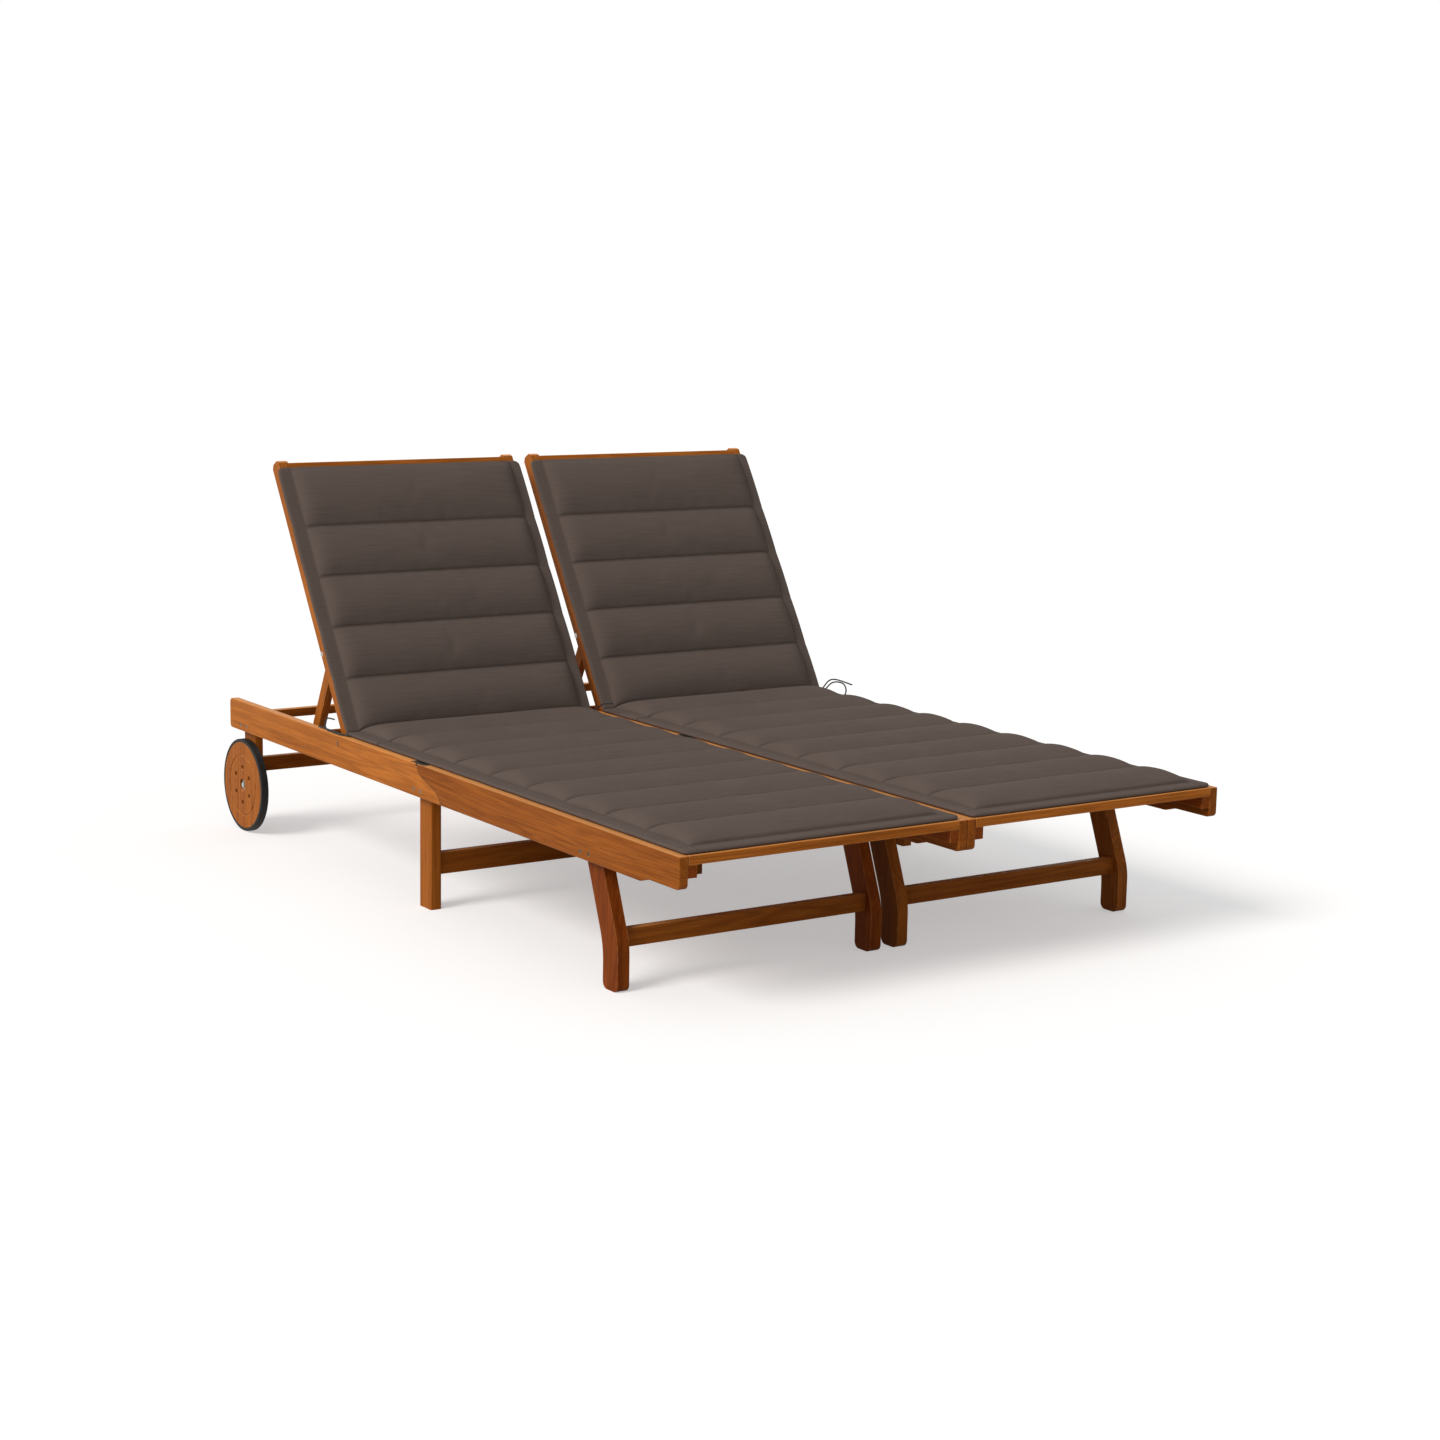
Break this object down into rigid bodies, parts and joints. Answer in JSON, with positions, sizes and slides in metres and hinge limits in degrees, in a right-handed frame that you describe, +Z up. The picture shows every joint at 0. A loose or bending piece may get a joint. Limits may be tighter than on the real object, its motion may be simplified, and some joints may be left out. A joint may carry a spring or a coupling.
{
  "type": "double chaise lounger",
  "caption": "Two wooden sun loungers bolted side by side, with slatted raising backrests, folding foot sections, rear wheels and long quilted cushions.",
  "frame": {"origin": "on the floor, in the middle of the overall length and width", "axes": "X across the two loungers, +Y towards the head end, +Z up"},
  "size_m": [1.3208, 2, 0.8877],
  "materials": {
    "wood_rails": "oiled",
    "wood_legs": "oiled",
    "cushion_fabric": "plain weave",
    "tie_cord": "woven",
    "tyre_rubber": "matt",
    "steel": "zinc plated",
    "hinge_steel": "dulled"
  },
  "bodies": {
    "frame": {"left_outer_head_rail": "wood_rails", "left_inner_head_rail": "wood_rails", "left_mid_legs": "wood_legs", "left_rear_legs": "wood_legs", "right_outer_head_rail": "wood_rails", "right_inner_head_rail": "wood_rails", "right_mid_legs": "wood_legs", "right_rear_legs": "wood_legs", "leg_stretchers": "wood_legs", "head_crossbars": "wood_legs", "seat_battens": "wood_legs", "seat_slats": "wood_rails", "prop_ladders": "wood_legs", "frame_screws": "steel", "joining_bolts": "steel", "wheel_bolts": "steel", "backrest_pivot_bolts": "steel", "fixed_hinge_leaves": "hinge_steel", "left_seat_cushion": "cushion_fabric", "left_cushion_ties": "tie_cord", "right_seat_cushion": "cushion_fabric", "right_cushion_ties": "tie_cord"},
    "left_foot_section": {"left_outer_foot_rail": "wood_rails", "left_inner_foot_rail": "wood_rails", "left_front_legs": "wood_legs", "left_front_stretcher": "wood_legs", "left_foot_battens": "wood_legs", "left_foot_slats": "wood_rails", "left_foot_screws": "steel", "left_foot_hinge_leaves": "hinge_steel", "left_foot_cushion": "cushion_fabric"},
    "left_backrest": {"left_back_stiles": "wood_rails", "left_back_top_rail": "wood_rails", "left_back_slats": "wood_rails", "left_back_cushion": "cushion_fabric", "left_prop_bolts": "steel"},
    "left_prop": {"left_prop_frame": "wood_legs"},
    "left_outer_wheel_body": {"left_outer_wheel": "wood_rails", "left_outer_tyre": "tyre_rubber"},
    "left_inner_wheel_body": {"left_inner_wheel": "wood_rails", "left_inner_tyre": "tyre_rubber"},
    "right_foot_section": {"right_outer_foot_rail": "wood_rails", "right_inner_foot_rail": "wood_rails", "right_front_legs": "wood_legs", "right_front_stretcher": "wood_legs", "right_foot_battens": "wood_legs", "right_foot_slats": "wood_rails", "right_foot_screws": "steel", "right_foot_hinge_leaves": "hinge_steel", "right_foot_cushion": "cushion_fabric"},
    "right_backrest": {"right_back_stiles": "wood_rails", "right_back_top_rail": "wood_rails", "right_back_slats": "wood_rails", "right_back_cushion": "cushion_fabric", "right_prop_bolts": "steel"},
    "right_prop": {"right_prop_frame": "wood_legs"},
    "right_outer_wheel_body": {"right_outer_wheel": "wood_rails", "right_outer_tyre": "tyre_rubber"},
    "right_inner_wheel_body": {"right_inner_wheel": "wood_rails", "right_inner_tyre": "tyre_rubber"}
  },
  "joints": [
    {"name": "left_fold", "type": "hinge", "parent": "frame", "child": "left_foot_section", "pos_m": [-0.3304, 0.00402, 0.308], "axis": [-1, 0, 0], "range_deg": [0, 90]},
    {"name": "left_recline", "type": "hinge", "parent": "frame", "child": "left_backrest", "pos_m": [-0.3304, 0.37507, 0.293], "axis": [1, 0, 0], "range_deg": [-58, 0]},
    {"name": "left_prop_swing", "type": "hinge", "parent": "left_backrest", "child": "left_prop", "pos_m": [-0.3304, 0.50476, 0.47319], "axis": [1, 0, 0], "range_deg": [0, 116]},
    {"name": "left_outer_wheel_turn", "type": "hinge", "parent": "frame", "child": "left_outer_wheel_body", "pos_m": [-0.6508, 0.89, 0.11], "axis": [1, 0, 0], "continuous": true},
    {"name": "left_inner_wheel_turn", "type": "hinge", "parent": "frame", "child": "left_inner_wheel_body", "pos_m": [-0.01, 0.89, 0.11], "axis": [1, 0, 0], "continuous": true},
    {"name": "right_fold", "type": "hinge", "parent": "frame", "child": "right_foot_section", "pos_m": [0.3304, 0.00402, 0.308], "axis": [-1, 0, 0], "range_deg": [0, 90]},
    {"name": "right_recline", "type": "hinge", "parent": "frame", "child": "right_backrest", "pos_m": [0.3304, 0.37507, 0.293], "axis": [1, 0, 0], "range_deg": [-58, 0]},
    {"name": "right_prop_swing", "type": "hinge", "parent": "right_backrest", "child": "right_prop", "pos_m": [0.3304, 0.50476, 0.47319], "axis": [1, 0, 0], "range_deg": [0, 116]},
    {"name": "right_outer_wheel_turn", "type": "hinge", "parent": "frame", "child": "right_outer_wheel_body", "pos_m": [0.6508, 0.89, 0.11], "axis": [1, 0, 0], "continuous": true},
    {"name": "right_inner_wheel_turn", "type": "hinge", "parent": "frame", "child": "right_inner_wheel_body", "pos_m": [0.01, 0.89, 0.11], "axis": [1, 0, 0], "continuous": true}
  ],
  "couplings": [
    {"joint": "left_prop_swing", "follows": "left_recline", "ratio": -2},
    {"joint": "right_prop_swing", "follows": "right_recline", "ratio": -2}
  ]
}
